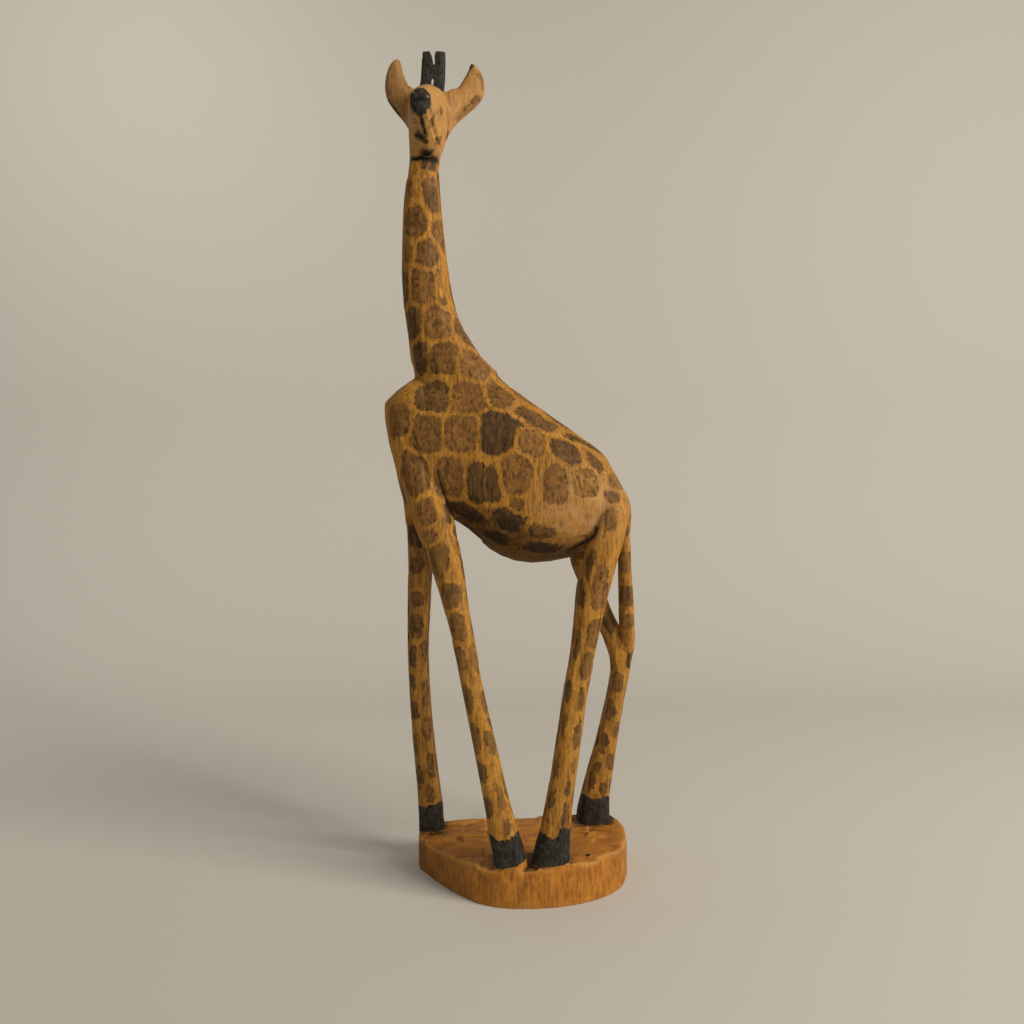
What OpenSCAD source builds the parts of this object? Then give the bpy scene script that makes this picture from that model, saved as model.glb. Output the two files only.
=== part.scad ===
// Carved wooden giraffe, standing on a plinth left in the same block.
// +X is the giraffe's tail end, -Y its left flank and the way its face is turned, +Z up.
// The origin is the middle of the plinth's flat underside.

/* [Size] */
// Height from the plinth's underside to the horn tips, mm
overall_height = 353; // [250:1:450]

/* [Plinth] */
// Thickness under the front feet's end, mm
plinth_low = 13; // [10:0.1:14]
// Thickness at the tail end, mm
plinth_high = 16.6; // [13:0.1:17.4]

/* [Legs] */
// Girth of the legs against the carving's own
leg_girth = 1; // [0.85:0.01:1.2]
// Height of the painted hooves, mm
hoof_height = 9.2; // [6:0.1:11]

/* [Head] */
// Height of the horns above the crown, mm
horn_height = 16.6; // [12:0.1:22]
// Widest part of the cut between the horns, mm
slot_width = 1.9; // [0.8:0.1:3]
// Thickness of the ears against the carving's own
ear_thickness = 1; // [0.7:0.01:1.3]

/* [Fineness] */
// Corners in a section of the torso, neck and head
body_facets = 32; // [20:4:36]
// Corners in a section of a leg
leg_facets = 20; // [12:4:24]
// Sections between two stations
steps = 3; // [1:1:3]

/* [Hidden] */
own_height = 353;
grow = overall_height / own_height;
ear_facets = 16;
thin_facets = 12;
wood = [0.78, 0.56, 0.28];
dark_wood = [0.66, 0.44, 0.22];
paint = [0.09, 0.09, 0.09];

// Each leg station: z, centre x, half x, centre y, half y, squareness.
// The first is inside the plinth, the second is the top of the foot pad,
// the third is the top of the hoof, and the last few are inside the torso.
front_left_pad = 18.2;
front_right_pad = 15.8;
hind_left_pad = 17.4;
hind_right_pad = 19.1;

front_left_stations = [
  [8, -3.9, 6.8, -23.1, 6.2, 0.72],
  [front_left_pad, -5.2, 6.4, -22.9, 6.0, 0.7],
  [front_left_pad + hoof_height, -7.6, 5.9, -22.8, 5.7, 0.7],
  [40.6, -10.6, 5.0, -22.3, 5.2, 0.72],
  [60, -14.8, 4.5, -21.1, 4.9, 0.74],
  [80, -19.2, 4.25, -19.7, 4.8, 0.76],
  [100, -23.2, 4.4, -18.2, 5.2, 0.78],
  [116, -26.8, 4.9, -16.9, 6.0, 0.78],
  [130, -30.0, 6.2, -15.9, 6.9, 0.78],
  [142, -33.4, 7.4, -14.7, 7.7, 0.78],
  [152.6, -36.6, 8.3, -13.5, 8.2, 0.78],
  [163, -39.8, 8.2, -12.2, 8.7, 0.8],
  [173, -42.4, 7.9, -10.9, 9.2, 0.84],
  [182, -44.6, 7.2, -9.0, 9.2, 0.9],
  [191, -46.6, 5.4, -6.4, 8.0, 1]
];
front_left_free = 10;

front_right_stations = [
  [6, -40.0, 5.8, 20.6, 6.2, 0.72],
  [front_right_pad, -40.3, 5.6, 20.5, 6.0, 0.7],
  [front_right_pad + hoof_height, -40.9, 5.2, 20.2, 5.8, 0.7],
  [36, -42.0, 4.8, 19.6, 5.3, 0.72],
  [51, -43.6, 4.65, 18.9, 5.0, 0.74],
  [71, -45.1, 4.4, 18.0, 4.9, 0.76],
  [94, -46.0, 4.4, 16.9, 5.0, 0.78],
  [116, -45.4, 4.9, 15.7, 5.6, 0.78],
  [134, -44.8, 5.2, 14.5, 6.3, 0.78],
  [151.6, -45.2, 5.8, 13.1, 7.2, 0.78],
  [165, -46.4, 6.0, 11.8, 7.8, 0.8],
  [177, -47.7, 5.5, 10.0, 8.0, 0.86],
  [188, -49.0, 4.2, 7.0, 7.0, 1]
];
front_right_free = 9;

hind_left_stations = [
  [8, 10.9, 7.7, -21.7, 6.7, 0.72],
  [hind_left_pad, 11.4, 7.4, -21.4, 6.5, 0.7],
  [hind_left_pad + hoof_height + 1.4, 13.0, 6.0, -20.9, 6.0, 0.7],
  [40, 14.8, 5.3, -20.4, 5.6, 0.72],
  [59, 17.9, 4.9, -19.5, 5.3, 0.72],
  [79.6, 20.9, 4.9, -18.6, 5.2, 0.72],
  [100, 24.6, 5.0, -17.7, 5.6, 0.74],
  [115, 27.1, 5.9, -16.9, 6.3, 0.76],
  [126, 29.1, 6.8, -16.3, 7.1, 0.78],
  [136.5, 32.0, 6.8, -15.5, 7.7, 0.78],
  [146, 34.5, 7.3, -14.5, 8.0, 0.8],
  [156, 36.4, 6.9, -12.8, 7.9, 0.86],
  [165, 37.2, 5.4, -10.4, 7.2, 1]
];
hind_left_free = 9;

hind_right_stations = [
  [8, 32.1, 7.4, 22.3, 6.5, 0.72],
  [hind_right_pad, 32.2, 7.2, 22.2, 6.3, 0.7],
  [hind_right_pad + hoof_height, 33.2, 6.2, 21.8, 5.9, 0.7],
  [41, 35.7, 5.4, 21.2, 5.4, 0.72],
  [54, 38.4, 4.5, 20.6, 5.2, 0.74],
  [71, 41.7, 4.05, 19.7, 5.0, 0.76],
  [81, 43.5, 4.1, 19.2, 5.0, 0.78],
  [89, 43.9, 4.7, 18.7, 5.1, 0.8],
  [96, 42.3, 4.9, 18.2, 5.2, 0.8],
  [103, 39.3, 4.7, 17.8, 5.2, 0.8],
  [110, 35.8, 4.6, 17.3, 5.4, 0.8],
  [118, 32.5, 4.8, 16.7, 5.7, 0.8],
  [126, 29.6, 5.1, 16.1, 6.1, 0.78],
  [133.8, 27.6, 5.9, 15.4, 6.7, 0.78],
  [143, 28.6, 7.0, 14.4, 7.5, 0.8],
  [153, 31.4, 7.4, 12.8, 7.8, 0.86],
  [163, 34.0, 6.0, 10.4, 7.2, 1]
];
hind_right_free = 13;

tail_stations = [
  [84, 45.0, 2.4, 18.4, 3.0, 0.85],
  [92, 46.6, 2.7, 16.9, 3.1, 0.85],
  [99, 46.9, 3.0, 14.8, 3.2, 0.85],
  [105.6, 46.2, 3.3, 12.6, 3.3, 0.85],
  [117, 45.4, 3.1, 8.8, 3.2, 0.85],
  [130, 44.3, 2.8, 4.6, 3.0, 0.85],
  [142, 43.5, 2.9, 1.9, 3.3, 0.85],
  [150, 42.0, 3.2, 0.8, 3.8, 0.9],
  [158, 39.6, 3.0, 0.0, 4.0, 1]
];
tail_joins_leg = 3;
tail_joins_rump = 6;

neck_stations = [
  [198, -24.6, 19.0, 0, 15.0, 0.8],
  [206, -25.9, 19.1, 0, 14.7, 0.8],
  [214, -27.8, 18.2, 0, 14.0, 0.8],
  [220.5, -31.8, 15.3, 0, 13.2, 0.8],
  [229, -35.3, 12.9, 0, 12.2, 0.8],
  [237, -38.1, 11.4, 0, 11.4, 0.8],
  [246, -39.9, 10.4, 0, 10.6, 0.8],
  [258, -41.3, 9.7, 0, 9.8, 0.8],
  [270, -41.9, 8.8, 0, 9.0, 0.8],
  [284, -42.4, 7.9, 0, 8.1, 0.8],
  [295, -42.3, 6.9, 0.2, 7.3, 0.82],
  [303.2, -41.8, 6.2, 0.6, 6.6, 0.85],
  [310.5, -41.1, 6.8, 1.4, 7.0, 0.88],
  [318, -40.1, 8.2, 1.7, 7.3, 0.9],
  [326, -39.4, 8.5, 1.8, 7.2, 0.95],
  [332, -39.3, 6.0, 1.8, 5.6, 1]
];
neck_root = 2;
throat = 11;

// Each torso station: x, half width, top z, underside z, widest z, squareness above and below.
torso_stations = [
  [-57.7, 4.0, 201.6, 198.6, 200.1, 0.9, 0.9],
  [-57.1, 9.0, 202.4, 193.0, 198.4, 0.8, 0.8],
  [-56.0, 12.0, 203.4, 186.0, 195.8, 0.75, 0.75],
  [-54.0, 14.8, 205.2, 178.0, 192.0, 0.7, 0.7],
  [-52.0, 16.4, 207.2, 169.5, 188.5, 0.7, 0.7],
  [-49.8, 17.4, 209.0, 161.0, 185.5, 0.72, 0.72],
  [-47.0, 18.3, 211.0, 155.6, 183.0, 0.74, 0.74],
  [-43.0, 19.0, 212.4, 154.0, 180.8, 0.76, 0.77],
  [-37.0, 19.7, 213.2, 153.6, 178.6, 0.78, 0.8],
  [-30.0, 20.4, 213.6, 152.6, 176.5, 0.8, 0.84],
  [-22.0, 21.1, 213.6, 147.6, 174.0, 0.82, 0.86],
  [-13.5, 21.8, 213.0, 139.8, 171.5, 0.84, 0.88],
  [-6.0, 22.2, 209.4, 135.9, 169.5, 0.85, 0.88],
  [3.0, 22.5, 203.0, 134.0, 167.0, 0.85, 0.86],
  [12.0, 22.6, 196.6, 134.7, 164.5, 0.85, 0.86],
  [20.0, 22.3, 191.0, 136.4, 162.5, 0.86, 0.86],
  [28.0, 21.4, 185.2, 139.6, 161.5, 0.87, 0.86],
  [34.2, 19.6, 180.2, 142.0, 160.0, 0.88, 0.86],
  [37.2, 18.0, 175.3, 143.0, 159.0, 0.89, 0.87],
  [40.4, 15.6, 169.5, 143.8, 157.8, 0.9, 0.89],
  [43.2, 12.2, 164.6, 144.6, 156.0, 0.92, 0.92],
  [45.0, 8.4, 160.8, 145.6, 153.5, 0.95, 0.95],
  [45.8, 4.6, 156.8, 147.6, 152.2, 1, 1]
];

// Each head station: y, centre x, half width, top z, underside z, widest z, squareness above and below.
head_stations = [
  [9.8, -39.0, 3.0, 329.4, 319.6, 324.5, 1, 1],
  [8.4, -39.0, 5.6, 333.2, 314.5, 324.5, 1, 1],
  [5.4, -39.2, 7.5, 335.8, 309.6, 324.5, 0.95, 0.95],
  [1.2, -39.4, 8.4, 336.8, 305.8, 324.5, 0.92, 0.92],
  [-3.2, -39.7, 8.3, 336.0, 303.9, 323.5, 0.92, 0.88],
  [-7.6, -39.9, 7.8, 334.2, 304.0, 322.4, 0.92, 0.88],
  [-11.5, -40.0, 7.1, 332.4, 305.8, 321.4, 0.92, 0.96],
  [-16.0, -40.2, 6.2, 330.2, 308.4, 320.6, 0.92, 1.0],
  [-21.0, -40.4, 5.2, 327.6, 310.8, 319.9, 0.92, 1.0],
  [-25.5, -40.6, 4.4, 324.9, 312.7, 319.3, 0.9, 0.95],
  [-28.2, -40.8, 3.8, 323.3, 313.6, 318.9, 0.9, 0.92],
  [-29.5, -40.8, 2.8, 321.6, 315.2, 318.7, 0.95, 0.95],
  [-29.9, -40.8, 1.4, 320.2, 317.0, 318.6, 1, 1]
];
muzzle_paint = 9;

// Each ear station: inner edge x and z, outer edge x and z, middle y, half thickness.
left_ear_stations = [
  [-36.5, 334.0, -37.6, 311.5, 1.4, 4.8],
  [-33.4, 335.2, -33.1, 314.4, 1.5, 4.4],
  [-30.4, 336.3, -29.4, 320.2, 1.6, 3.8],
  [-28.4, 336.9, -24.9, 324.6, 1.8, 3.3],
  [-26.6, 338.6, -19.7, 329.2, 2.0, 2.8],
  [-25.0, 340.8, -16.8, 333.4, 2.1, 2.5],
  [-23.6, 343.4, -16.1, 338.6, 2.1, 2.1],
  [-22.4, 345.9, -17.8, 343.4, 2.0, 1.6],
  [-21.7, 347.3, -20.3, 346.7, 2.0, 0.8]
];
right_ear_stations = [
  [-40.6, 334.5, -41.0, 311.5, 1.4, 4.8],
  [-44.0, 335.8, -46.0, 315.2, 1.5, 4.4],
  [-46.9, 336.8, -49.8, 321.4, 1.6, 3.8],
  [-48.5, 338.0, -54.2, 326.9, 1.8, 3.3],
  [-49.8, 340.2, -57.5, 331.8, 2.0, 2.8],
  [-50.9, 343.2, -58.6, 337.4, 2.1, 2.4],
  [-51.6, 346.2, -57.9, 343.0, 2.1, 2.0],
  [-52.2, 348.2, -56.2, 347.0, 2.0, 1.5],
  [-52.9, 349.2, -54.4, 348.8, 2.0, 0.8]
];
ear_root = 2;

// Horns: one block on the crown, then the cut between them.
crown_z = 336.4;
horn_y = 4.5;
horn_stations = [
  [329, -39.0, 5.5, horn_y, 2.6, 0.5],
  [crown_z, -39.0, 5.35, horn_y, 2.5, 0.45],
  [crown_z + 0.3 * horn_height, -38.4, 5.15, horn_y, 2.4, 0.4],
  [crown_z + 0.7 * horn_height, -38.1, 5.05, horn_y, 2.3, 0.4],
  [crown_z + horn_height, -37.9, 4.85, horn_y, 2.2, 0.4]
];
horn_split_x = -38.1;
cut_tilt = 25;

// Plinth outline, x and y: a flat back and a bowed front.
plinth_outline = [
  [-44.8, 9.6], [-42.2, 4.8], [-38.6, -1.2], [-34.4, -7], [-27.2, -15.8], [-17.5, -24.8],
  [-8, -28.7], [2, -29.5], [14, -28], [27, -23.2], [36, -16.5], [42, -8], [45, 4],
  [44.9, 14], [42.4, 24.4], [35.5, 29.4], [0, 29.5], [-34, 29.4], [-41.5, 27], [-44.9, 20.5]
];
plinth_half = 45;
plinth_lean = 0.012;
edge_wear = 0.8;

// Smooth curves through rows of numbers
function blend(a, b, c, d, t) =
  0.5 * ((2 * b) + (c - a) * t + (2 * a - 5 * b + 4 * c - d) * t * t
         + (3 * b - a - 3 * c + d) * t * t * t);
function last(rows) = len(rows) - 1;
function between(rows, i, t) =
  blend(rows[max(i - 1, 0)], rows[i], rows[i + 1], rows[min(i + 2, last(rows))], t);
function smooth(rows, from, to) = [
  for (i = [from : to - 1]) for (s = [0 : steps - 1]) between(rows, i, s / steps),
  rows[to]
];
function closed_blend(rows, i, t) =
  let (n = len(rows))
  blend(rows[(i + n - 1) % n], rows[i], rows[(i + 1) % n], rows[(i + 2) % n], t);
function closed_curve(rows, k) = [
  for (i = [0 : last(rows)]) for (s = [0 : k - 1]) closed_blend(rows, i, s / k)
];

// A rounded square's corner direction: squareness 1 gives an ellipse, less gives flatter sides
function power(v, e) = sign(v) * pow(abs(v), e);

// Sections: level for limbs, upright across the body, upright across the head, and along an ear
function limb_section(s, n, girth) = [
  for (i = [0 : n - 1]) let (a = 360 * (i + 0.5) / n)
  [s[1] + girth * s[2] * power(cos(a), s[5]), s[3] + girth * s[4] * power(sin(a), s[5]), s[0]]
];
function upright(s, a, e_top, e_low) =
  sin(a) >= 0
  ? [s[0] * power(cos(a), e_top), s[3] + (s[1] - s[3]) * power(sin(a), e_top)]
  : [s[0] * power(cos(a), e_low), s[3] + (s[3] - s[2]) * power(sin(a), e_low)];
function torso_section(s) = [
  for (i = [0 : body_facets - 1])
  let (p = upright([s[1], s[2], s[3], s[4]], 360 * i / body_facets, s[5], s[6]))
  [s[0], p[0], p[1]]
];
function head_section(s) = [
  for (i = [0 : body_facets - 1])
  let (p = upright([s[2], s[3], s[4], s[5]], 360 * i / body_facets, s[6], s[7]))
  [s[1] + p[0], s[0], p[1]]
];
function ear_section(s, side) = [
  for (i = [0 : ear_facets - 1])
  let (a = 360 * (i + 0.5) / ear_facets,
       mid = [s[0] + s[2], s[1] + s[3]] / 2,
       half = [s[2] - s[0], s[3] - s[1]] / 2)
  [mid[0] + half[0] * cos(a), s[4] + side * ear_thickness * s[5] * sin(a), mid[1] + half[1] * cos(a)]
];

// A closed solid through a run of sections
module skin(rings) {
  n = len(rings[0]);
  m = len(rings);
  points = [for (r = rings) each r, mean(rings[0]), mean(rings[m - 1])];
  sides = [
    for (i = [0 : m - 2]) for (j = [0 : n - 1])
    let (k = (j + 1) % n)
    each [
      [i * n + j, (i + 1) * n + j, (i + 1) * n + k],
      [i * n + j, (i + 1) * n + k, i * n + k]
    ]
  ];
  ends = [
    for (j = [0 : n - 1]) let (k = (j + 1) % n)
    each [[j, k, m * n], [(m - 1) * n + k, (m - 1) * n + j, m * n + 1]]
  ];
  polyhedron(points = points, faces = concat(sides, ends), convexity = 6);
}
function mean(ring) = [for (c = [0 : 2]) let (v = [for (p = ring) p[c]]) sum(v) / len(v)];
function sum(v, i = 0) = i < len(v) ? v[i] + sum(v, i + 1) : 0;

module limb(stations, from, to, n, girth = 1) {
  skin([for (s = smooth(stations, from, to)) limb_section(s, n, girth)]);
}
module torso_barrel() {
  skin([for (s = smooth(torso_stations, 0, last(torso_stations))) torso_section(s)]);
}
module head_loft(from, to) {
  skin([for (s = smooth(head_stations, from, to)) head_section(s)]);
}
module ear(stations, from, to, side) {
  skin([for (s = smooth(stations, from, to)) ear_section(s, side)]);
}

module plinth_blank() {
  outline = closed_curve(plinth_outline, 4);
  slope = (plinth_high - plinth_low) / (2 * plinth_half);
  middle = (plinth_high + plinth_low) / 2;
  function top_z(p) = middle + slope * p[0] - plinth_lean * p[1];
  overhang = 1.03;
  worn_inset = 0.97;
  blank_height = 30;
  below = -4;
  intersection() {
    linear_extrude(height = blank_height) polygon(outline);
    skin([
      [for (p = outline) [p[0] * overhang, p[1] * overhang, below]],
      [for (p = outline) [p[0] * overhang, p[1] * overhang, top_z(p) - 2 * edge_wear]],
      [for (p = outline) [p[0] * worn_inset, p[1] * worn_inset, top_z(p)]]
    ]);
  }
}

// What the knife took out between the horns: a notch, a slit and a hole.
// They run through from front to back, rising by cut_tilt.
module horn_cut() {
  w = slot_width / 2;
  reach = 26;
  translate([horn_split_x, horn_y, crown_z + horn_height])
    rotate([90 + cut_tilt, 0, 0]) linear_extrude(height = reach, center = true) {
      polygon([
        [-w * 1.9, 3], [-w * 1.1, -0.6], [-w * 0.8, -2.2], [-w * 0.4, -4],
        [w * 0.2, -4.5], [w * 0.6, -4.1], [w * 0.75, -2.4], [w * 0.7, -0.8], [w * 1.3, 3]
      ]);
      polygon([
        [w * 0.25, -8.6], [w * 0.5, -9], [w * 0.7, -8.2], [w * 0.75, -6.7],
        [w * 0.45, -6.1], [w * 0.2, -6.8]
      ]);
      polygon([
        [-w * 1.05, -12.2], [-w * 0.5, -12.5], [w * 0.15, -11.6], [w * 0.3, -10.4],
        [-w * 0.2, -9.7], [-w * 0.85, -9.5], [-w * 1.15, -10.9]
      ]);
    }
}

// One horn: side is 1 for the half towards +X and -1 for the other
module horn(side) {
  reach = 20;
  below = 320;
  difference() {
    limb(horn_stations, 0, last(horn_stations), thin_facets);
    head_loft(0, last(head_stations));
    limb(neck_stations, throat, last(neck_stations), body_facets);
    horn_cut();
    translate([horn_split_x - (side > 0 ? reach : 0), horn_y - reach / 2, below])
      cube([reach, reach, 60]);
  }
}

// One module for each node
module base() {
  color(wood) scale(grow) union() {
    plinth_blank();
    limb(front_left_stations, 0, 1, leg_facets, leg_girth);
    limb(front_right_stations, 0, 1, leg_facets, leg_girth);
    limb(hind_left_stations, 0, 1, leg_facets, leg_girth);
    limb(hind_right_stations, 0, 1, leg_facets, leg_girth);
  }
}
module front_left_hoof() {
  color(paint) scale(grow) limb(front_left_stations, 1, 2, leg_facets, leg_girth);
}
module front_right_hoof() {
  color(paint) scale(grow) limb(front_right_stations, 1, 2, leg_facets, leg_girth);
}
module hind_left_hoof() {
  color(paint) scale(grow) limb(hind_left_stations, 1, 2, leg_facets, leg_girth);
}
module hind_right_hoof() {
  color(paint) scale(grow) limb(hind_right_stations, 1, 2, leg_facets, leg_girth);
}
module front_left_leg() {
  color(wood) scale(grow)
    limb(front_left_stations, 2, front_left_free, leg_facets, leg_girth);
}
module front_right_leg() {
  color(wood) scale(grow)
    limb(front_right_stations, 2, front_right_free, leg_facets, leg_girth);
}
module hind_left_leg() {
  color(wood) scale(grow)
    limb(hind_left_stations, 2, hind_left_free, leg_facets, leg_girth);
}
module hind_right_leg() {
  color(wood) scale(grow) union() {
    limb(hind_right_stations, 2, hind_right_free, leg_facets, leg_girth);
    limb(tail_stations, 0, tail_joins_leg, thin_facets);
  }
}
module tail() {
  color(dark_wood) scale(grow) limb(tail_stations, tail_joins_leg, tail_joins_rump, thin_facets);
}
module torso() {
  color(wood) scale(grow) union() {
    torso_barrel();
    limb(neck_stations, 0, neck_root, body_facets);
    limb(front_left_stations, front_left_free, last(front_left_stations), leg_facets, leg_girth);
    limb(front_right_stations, front_right_free, last(front_right_stations), leg_facets, leg_girth);
    limb(hind_left_stations, hind_left_free, last(hind_left_stations), leg_facets, leg_girth);
    limb(hind_right_stations, hind_right_free, last(hind_right_stations), leg_facets, leg_girth);
    limb(tail_stations, tail_joins_rump, last(tail_stations), thin_facets);
  }
}
module neck() {
  color(wood) scale(grow) limb(neck_stations, neck_root, throat, body_facets);
}
module head() {
  color(wood) scale(grow) union() {
    head_loft(0, muzzle_paint);
    limb(neck_stations, throat, last(neck_stations), body_facets);
    ear(left_ear_stations, 0, ear_root, 1);
    ear(right_ear_stations, 0, ear_root, -1);
  }
}
module muzzle_tip() {
  color(paint) scale(grow) head_loft(muzzle_paint, last(head_stations));
}
module left_ear() {
  color(dark_wood) scale(grow) ear(left_ear_stations, ear_root, last(left_ear_stations), 1);
}
module right_ear() {
  color(dark_wood) scale(grow) ear(right_ear_stations, ear_root, last(right_ear_stations), -1);
}
module left_horn() {
  color(paint) scale(grow) horn(1);
}
module right_horn() {
  color(paint) scale(grow) horn(-1);
}

base();
front_left_leg();
front_right_leg();
hind_left_leg();
hind_right_leg();
front_left_hoof();
front_right_hoof();
hind_left_hoof();
hind_right_hoof();
torso();
neck();
head();
muzzle_tip();
left_ear();
right_ear();
left_horn();
right_horn();
tail();
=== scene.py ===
import bpy, bmesh, math
import numpy as np
from mathutils import Vector, Matrix, kdtree, noise
from mathutils.bvhtree import BVHTree


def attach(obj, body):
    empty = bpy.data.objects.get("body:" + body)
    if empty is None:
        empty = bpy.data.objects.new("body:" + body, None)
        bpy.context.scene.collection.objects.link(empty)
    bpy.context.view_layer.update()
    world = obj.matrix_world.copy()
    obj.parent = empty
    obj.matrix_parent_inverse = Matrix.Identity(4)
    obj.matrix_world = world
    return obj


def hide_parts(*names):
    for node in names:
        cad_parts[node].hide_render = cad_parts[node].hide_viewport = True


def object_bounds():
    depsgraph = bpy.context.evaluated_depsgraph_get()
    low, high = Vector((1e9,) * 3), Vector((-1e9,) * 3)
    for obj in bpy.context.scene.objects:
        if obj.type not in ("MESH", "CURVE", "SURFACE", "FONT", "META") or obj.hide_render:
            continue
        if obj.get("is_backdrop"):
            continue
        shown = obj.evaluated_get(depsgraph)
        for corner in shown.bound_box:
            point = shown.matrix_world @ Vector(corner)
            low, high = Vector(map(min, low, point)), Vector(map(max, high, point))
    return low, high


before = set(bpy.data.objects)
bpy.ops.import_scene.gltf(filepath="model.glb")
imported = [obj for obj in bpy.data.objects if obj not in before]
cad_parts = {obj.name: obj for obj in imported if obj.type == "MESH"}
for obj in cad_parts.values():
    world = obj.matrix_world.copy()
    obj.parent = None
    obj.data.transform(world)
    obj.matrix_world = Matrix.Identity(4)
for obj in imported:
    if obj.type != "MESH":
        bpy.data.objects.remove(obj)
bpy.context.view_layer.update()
scene = bpy.context.scene
mm = 0.001
print("frame loaded:", len(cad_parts), "nodes")


def toLinear(hexColour):
    value = int(hexColour.lstrip("#"), 16)
    parts = [(value >> shift & 255) / 255 for shift in (16, 8, 0)]
    return [c / 12.92 if c <= 0.04045 else ((c + 0.055) / 1.055) ** 2.4 for c in parts] + [1.0]


def addNode(tree, kind, wires=None, **settings):
    node = tree.nodes.new("ShaderNode" + kind)
    for name, value in settings.items():
        setattr(node, name, value)
    for name, value in (wires or {}).items():
        if isinstance(value, bpy.types.NodeSocket):
            tree.links.new(value, node.inputs[name])
        else:
            node.inputs[name].default_value = value
    return node


def addObject(name, data):
    thing = bpy.data.objects.new(name, data)
    scene.collection.objects.link(thing)
    return thing


# camera: level, with the lens shifted instead of tilted
view = {
    "place": (-4.3, -383.6, 167.0),   # mm
    "lens": 31.64,
    "shift": -27 / 1024,
}
camera = addObject("camera", bpy.data.cameras.new("camera"))
camera.location = Vector(view["place"]) * mm
camera.rotation_euler = (math.radians(90), 0, 0)
camera.data.sensor_width = 36
camera.data.lens = view["lens"]
camera.data.shift_y = view["shift"]
camera.data.clip_start = 0.01
scene.camera = camera

# one big soft light from the upper right, a weak fill, one more for the wall, grey room
studio = {
    "key": {
        "place": (0.82, -0.5, 0.66), "aim": (0.0, 0.0, 0.17),
        "size": 0.5, "power": 11.8, "colour": "#FFF6EA",
    },
    "fill": {
        "place": (-0.3, -0.9, 0.5), "aim": (0.0, 0.0, 0.2),
        "size": 0.9, "power": 1.0, "colour": "#F4F1EA",
    },
    "wash": {
        "place": (-0.45, 0.12, 0.62), "aim": (-0.62, 0.55, 0.25),
        "size": 0.5, "power": 1.3, "colour": "#F4F1EA",
    },
    "room": "#C9C3B6",
    "roomLight": 0.4,
    "wall": "#C5C2BB",
    "wallAt": 0.55,      # m behind
    "cove": 0.25,
    "sweep": 2.5,        # m of paper to each side, in front and up the wall
}
for name in ("key", "fill", "wash"):
    spec = studio[name]
    lamp = addObject(name + "Light", bpy.data.lights.new(name + "Light", "AREA"))
    lamp.location = spec["place"]
    lamp.rotation_euler = (Vector(spec["aim"]) - Vector(spec["place"])).to_track_quat("-Z", "Y").to_euler()
    lamp.data.size = spec["size"]
    lamp.data.energy = spec["power"]
    lamp.data.color = toLinear(spec["colour"])[:3]
room = bpy.data.worlds.new("room")
scene.world = room
room.use_nodes = True
room.node_tree.nodes["Background"].inputs["Color"].default_value = toLinear(studio["room"])
room.node_tree.nodes["Background"].inputs["Strength"].default_value = studio["roomLight"]
scene.view_settings.view_transform = "Standard"

sweep, cove = studio["sweep"], studio["cove"]
bendAt = studio["wallAt"] - cove
bm = bmesh.new()
rim = bm.verts.new((-sweep, -sweep, 0)), bm.verts.new((sweep, -sweep, 0))
bm.edges.new(rim)
swept = bmesh.ops.extrude_edge_only(bm, edges=bm.edges[:])["geom"]
farSide = [g for g in swept if isinstance(g, bmesh.types.BMVert)]
bmesh.ops.translate(bm, vec=(0, sweep + bendAt, 0), verts=farSide)
turning = [g for g in swept if isinstance(g, (bmesh.types.BMVert, bmesh.types.BMEdge))]
quarter = math.radians(90)
bent = bmesh.ops.spin(bm, geom=turning, cent=(0, bendAt, cove), axis=(1, 0, 0), angle=quarter, steps=16)
lastEdges = [g for g in bent["geom_last"] if isinstance(g, bmesh.types.BMEdge)]
raised = bmesh.ops.extrude_edge_only(bm, edges=lastEdges)["geom"]
top = [v for v in raised if isinstance(v, bmesh.types.BMVert)]
bmesh.ops.translate(bm, vec=(0, 0, sweep), verts=top)
bmesh.ops.recalc_face_normals(bm, faces=bm.faces)
floorMesh = bpy.data.meshes.new("floor")
bm.to_mesh(floorMesh)
bm.free()
floorMesh.shade_smooth()
floor = addObject("floor", floorMesh)
# matt seamless paper: even and pale, takes a soft shadow
paper = bpy.data.materials.new("paleBackdropPaper")
paper.use_nodes = True
paper.node_tree.nodes["Principled BSDF"].inputs["Base Color"].default_value = toLinear(studio["wall"])
paper.node_tree.nodes["Principled BSDF"].inputs["Roughness"].default_value = 0.95
floorMesh.materials.append(paper)
floor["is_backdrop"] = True
print("studio ready")

# the whole animal and its plinth are carved as one skin, then cut back into the pieces
carving = {
    "voxel": 0.54,        # mm
    "quickVoxel": 0.8,
    "soften": 5,          # rounds of smoothing over everything
    "softenBase": 2,
    "keepVolume": 0.57,   # each round of smoothing is followed by this much the other way
    "blend": 26,          # more rounds where one piece grows out of another
    "blendReach": 5.0,    # mm either side of such a joint
    "facet": (7.5, 7.5, 19.0),   # knife facets, mm
    "facetDepth": 0.22,
    "chisel": (11.0, 7.0, 9.0),   # cuts on top of the plinth, mm
    "chiselDepth": 0.6,
    "chiselTilt": 0.1,
}
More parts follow.
